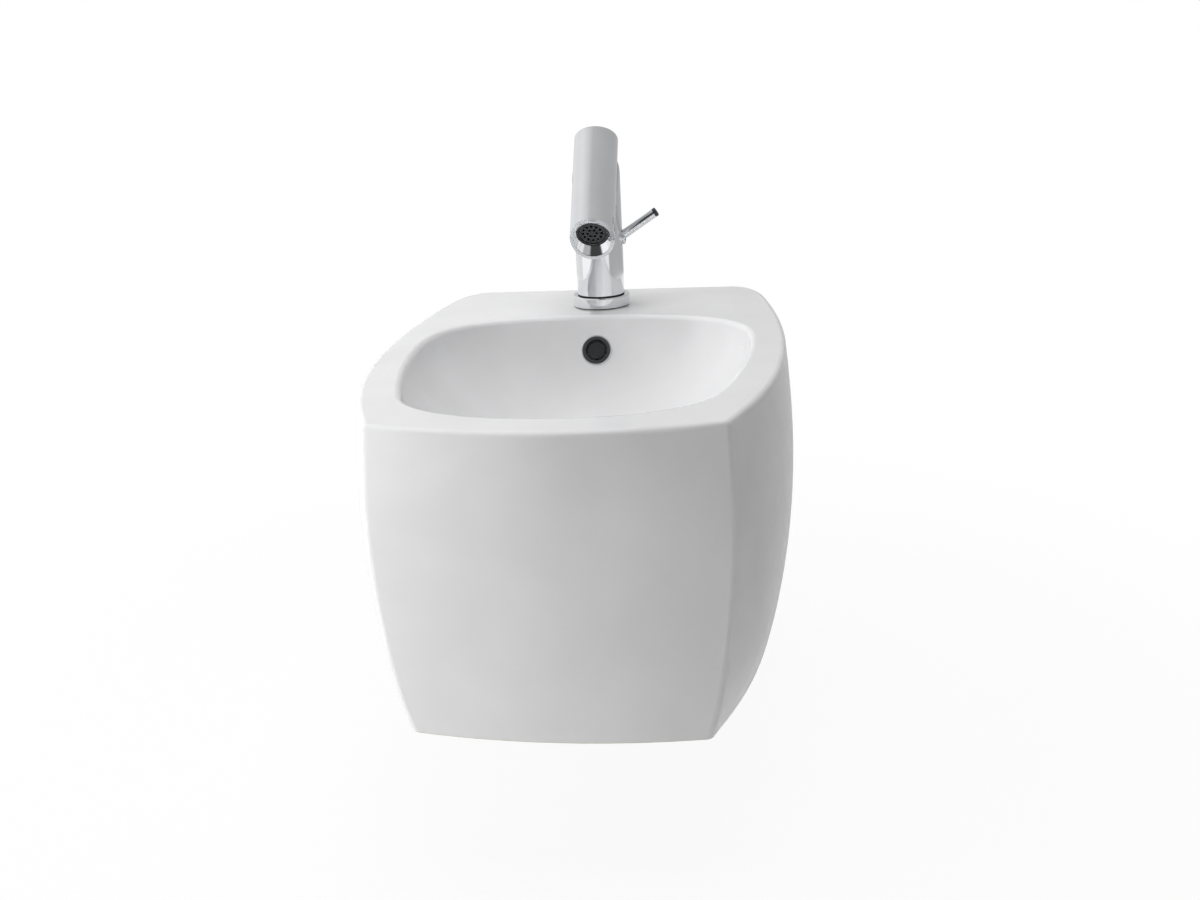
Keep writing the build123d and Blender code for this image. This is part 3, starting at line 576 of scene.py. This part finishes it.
# Cards: boards with soft edges, stood round the set, which only chrome and glaze mirror. A
# bright one at the left and one at the front right give the column its light flanks, the dark
# one between them gives it the shade down its front, and the large dark one above shades the
# lever and the mouth. A grey one lies on the floor at the right and tones down the side there.


def stand_card(name, place, faced, width, height, grey):
    """One board at a place, turned to face a point, that fades out towards its edges."""
    corners = [(x * width / 2, y * height / 2, 0) for x, y in square]
    card_mesh = bpy.data.meshes.new(name)
    card_mesh.from_pydata(corners, [], [(0, 1, 2, 3)])
    card = bpy.data.objects.new(name, card_mesh)
    bpy.context.scene.collection.objects.link(card)
    card.location = place
    card.rotation_euler = (place - faced).to_track_quat("Z", "Y").to_euler()
    board, tree = start_material(name + "_board")
    corner = add(tree, "SeparateXYZ", {"Vector": add(tree, "TexCoord").outputs["Generated"]})
    fades = []
    for axis in "XY":
        centred = add(tree, "Math", {0: corner.outputs[axis], 1: 0.5}, operation="SUBTRACT")
        off_centre = add(tree, "Math", {0: centred.outputs[0]}, operation="ABSOLUTE")
        fade = add(tree, "MapRange", {
            "Value": off_centre.outputs[0], "From Min": 0.5, "From Max": 0.3,
        }, interpolation_type="SMOOTHSTEP")
        fades.append(fade.outputs["Result"])
    solid = add(tree, "Math", {0: fades[0], 1: fades[1]}, operation="MULTIPLY")
    glow = add(tree, "Emission", {"Color": (grey, grey, grey, 1), "Strength": 1.0})
    clear = add(tree, "BsdfTransparent")
    mixed = add(tree, "MixShader", {0: solid.outputs[0], 1: clear.outputs[0], 2: glow.outputs[0]})
    add(tree, "OutputMaterial", {"Surface": mixed.outputs[0]})
    card_mesh.materials.append(board)
    card.visible_camera = False
    card.visible_diffuse = False
    card.visible_shadow = False


tap_middle = Vector((0, -0.1, 0.14))
card_distance = 1.8
for name, azimuth, elevation, width, height, grey in (
    ("left_card", -63, -7, 2.3, 0.5, 1.15),
    ("front_right_card", 38, -8, 1.3, 0.36, 1.0),
    ("dark_card", -4, -11, 0.5, 0.6, 0.12),
    ("dark_front_card", -16, 20, 2.2, 1.9, 0.06),
):
    round_set, above = math.radians(azimuth), math.radians(elevation)
    level = math.cos(above)
    toward = Vector((math.sin(round_set) * level, -math.cos(round_set) * level, math.sin(above)))
    stand_card(name, tap_middle + card_distance * toward, tap_middle, width, height, grey)
floor_card_place = Vector((0.75, 0.6, floor_level + 0.005))
stand_card("floor_card", floor_card_place, floor_card_place + upward, 1.8, 2.4, 0.58)

# Studio: wide soft lamps low at the left and overhead, weaker ones at the right, behind and in
# front, and a small one at the left that draws the tap's shadow on the deck. Chrome and glaze
# mirror the tent and the cards in place of the lamps.
bowl_middle = Vector((0, -0.25, 0))
for name, spot, size, power in (
    ("left_low_softbox", (-1.81, -1.1, 0.0), 1.4, 34.4),
    ("right_softbox", (2.0, -0.4, 0.0), 1.4, 4.2),
    ("left_softbox", (-1.88, -0.25, 0.68), 1.4, 1.3),
    ("key_softbox", (-1.51, -0.71, 1.23), 0.5, 3.9),
    ("front_low_softbox", (0.0, -2.25, 0.0), 1.4, 4.4),
    ("top_softbox", (0.0, -0.32, 2.0), 1.4, 26),
    ("back_left_softbox", (-1.08, 0.66, 1.41), 1.4, 11.2),
    ("back_right_softbox", (1.08, 0.66, 1.41), 1.4, 1.0),
):
    lamp = bpy.data.objects.new(name, bpy.data.lights.new(name, "AREA"))
    lamp.data.shape = "SQUARE"
    lamp.data.size = size
    lamp.data.energy = power
    lamp.location = spot
    lamp.rotation_euler = (bowl_middle - Vector(spot)).to_track_quat("-Z", "Y").to_euler()
    lamp.visible_glossy = False
    bpy.context.scene.collection.objects.link(lamp)

# Room: plain white to the camera and to all that mirrors it, and it lights nothing. The view
# transform shows each colour as it is written.
world = bpy.data.worlds.new("white_room")
bpy.context.scene.world = world
world.use_nodes = True
tree = world.node_tree
tree.nodes.clear()
room_light = add(tree, "Background", {"Color": (1, 1, 1, 1), "Strength": 0.0})
room_seen = add(tree, "Background", {"Color": (1, 1, 1, 1), "Strength": 1.0})
mixed = add(tree, "MixShader", {
    0: seen_plainly(tree), 1: room_light.outputs[0], 2: room_seen.outputs[0],
})
add(tree, "OutputWorld", {"Surface": mixed.outputs[0]})
bpy.context.scene.view_settings.view_transform = "Standard"
